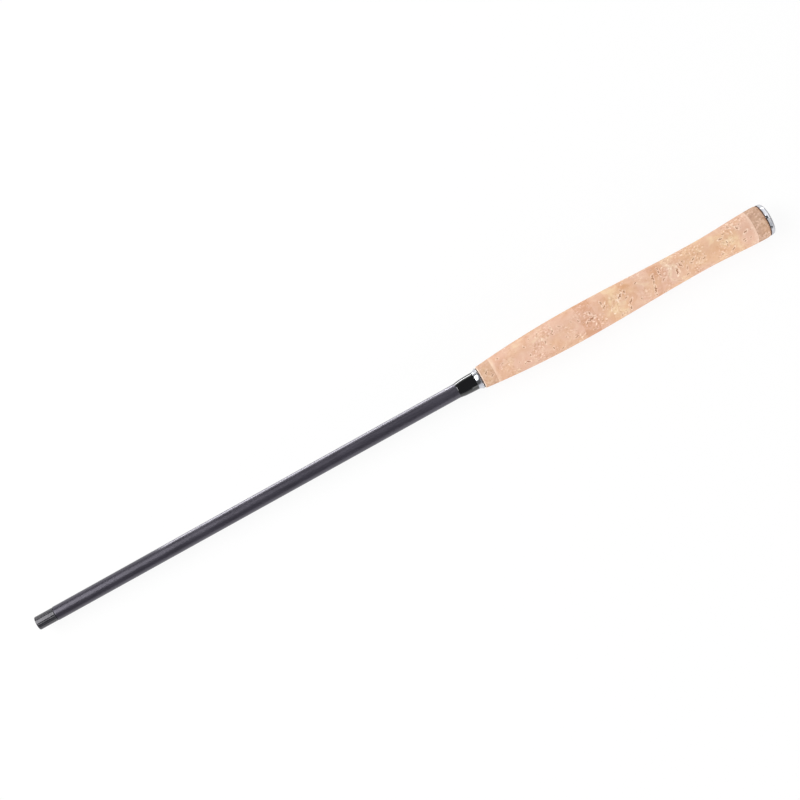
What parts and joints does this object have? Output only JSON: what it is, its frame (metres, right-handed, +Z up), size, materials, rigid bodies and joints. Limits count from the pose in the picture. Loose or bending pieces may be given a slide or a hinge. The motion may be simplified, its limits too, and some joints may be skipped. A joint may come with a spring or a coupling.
{
  "type": "tenkara rod",
  "caption": "Closed telescopic tenkara rod with a cork grip, nested carbon sections, a fluted tip plug and a screw-in butt cap.",
  "frame": {"origin": "under the middle of the closed rod, on the surface that the swell of the grip rests on", "axes": "+X along the rod's axis from the tip plug to the butt, +Z up"},
  "size_m": [0.6224, 0.0262, 0.0262],
  "materials": {
    "blank": "satin charcoal paint on carbon fibre",
    "carbon": "satin clear coat on carbon fibre",
    "winding": "thread under glossy epoxy",
    "metal": "polished",
    "cork": "sanded natural cork",
    "composite": "sanded composite cork",
    "plug": "matt moulded",
    "rubber": "matt",
    "cord": "fine braid"
  },
  "bodies": {
    "handle": {"handle_blank": "blank", "thread_wrap": "winding", "winding_check": "metal", "front_composite_ring": "composite", "cork_ring_01": "cork", "cork_ring_02": "cork", "cork_ring_03": "cork", "cork_ring_04": "cork", "cork_ring_05": "cork", "cork_ring_06": "cork", "cork_ring_07": "cork", "cork_ring_08": "cork", "cork_ring_09": "cork", "cork_ring_10": "cork", "cork_ring_11": "cork", "cork_ring_12": "cork", "cork_ring_13": "cork", "cork_ring_14": "cork", "cork_ring_15": "cork", "cork_ring_16": "cork", "cork_ring_17": "cork", "cork_ring_18": "cork", "rear_composite_ring": "composite", "butt_ring": "metal"},
    "second_section": {"section_2": "carbon"},
    "third_section": {"section_3": "carbon"},
    "fourth_section": {"section_4": "carbon"},
    "fifth_section": {"section_5": "carbon"},
    "sixth_section": {"section_6": "carbon"},
    "tip": {"tip_section": "carbon", "lilian": "cord"},
    "plug": {"tip_plug": "plug"},
    "cap_seal": {"butt_o_ring": "rubber"},
    "cap": {"butt_cap": "metal", "butt_cushion": "rubber"}
  },
  "joints": [
    {"name": "section_2_slide", "type": "slide", "parent": "handle", "child": "second_section", "axis": [-1, 0, 0], "range_m": [0, 0.51]},
    {"name": "section_3_slide", "type": "slide", "parent": "second_section", "child": "third_section", "axis": [-1, 0, 0], "range_m": [0, 0.51]},
    {"name": "section_4_slide", "type": "slide", "parent": "third_section", "child": "fourth_section", "axis": [-1, 0, 0], "range_m": [0, 0.51]},
    {"name": "section_5_slide", "type": "slide", "parent": "fourth_section", "child": "fifth_section", "axis": [-1, 0, 0], "range_m": [0, 0.51]},
    {"name": "section_6_slide", "type": "slide", "parent": "fifth_section", "child": "sixth_section", "axis": [-1, 0, 0], "range_m": [0, 0.51]},
    {"name": "tip_slide", "type": "slide", "parent": "sixth_section", "child": "tip", "axis": [-1, 0, 0], "range_m": [0, 0.51]},
    {"name": "plug_pull", "type": "slide", "parent": "tip", "child": "plug", "axis": [-1, 0, 0], "range_m": [0, 0.04]},
    {"name": "cap_travel", "type": "slide", "parent": "handle", "child": "cap_seal", "axis": [1, 0, 0], "range_m": [0, 0.00532]},
    {"name": "cap_turn", "type": "hinge", "parent": "cap_seal", "child": "cap", "pos_m": [0.3, 0, 0.0131], "axis": [1, 0, 0], "range_deg": [0, 1530]}
  ],
  "couplings": [
    {"joint": "cap_travel", "follows": "cap_turn", "m_per_rad": 0.00019894}
  ]
}
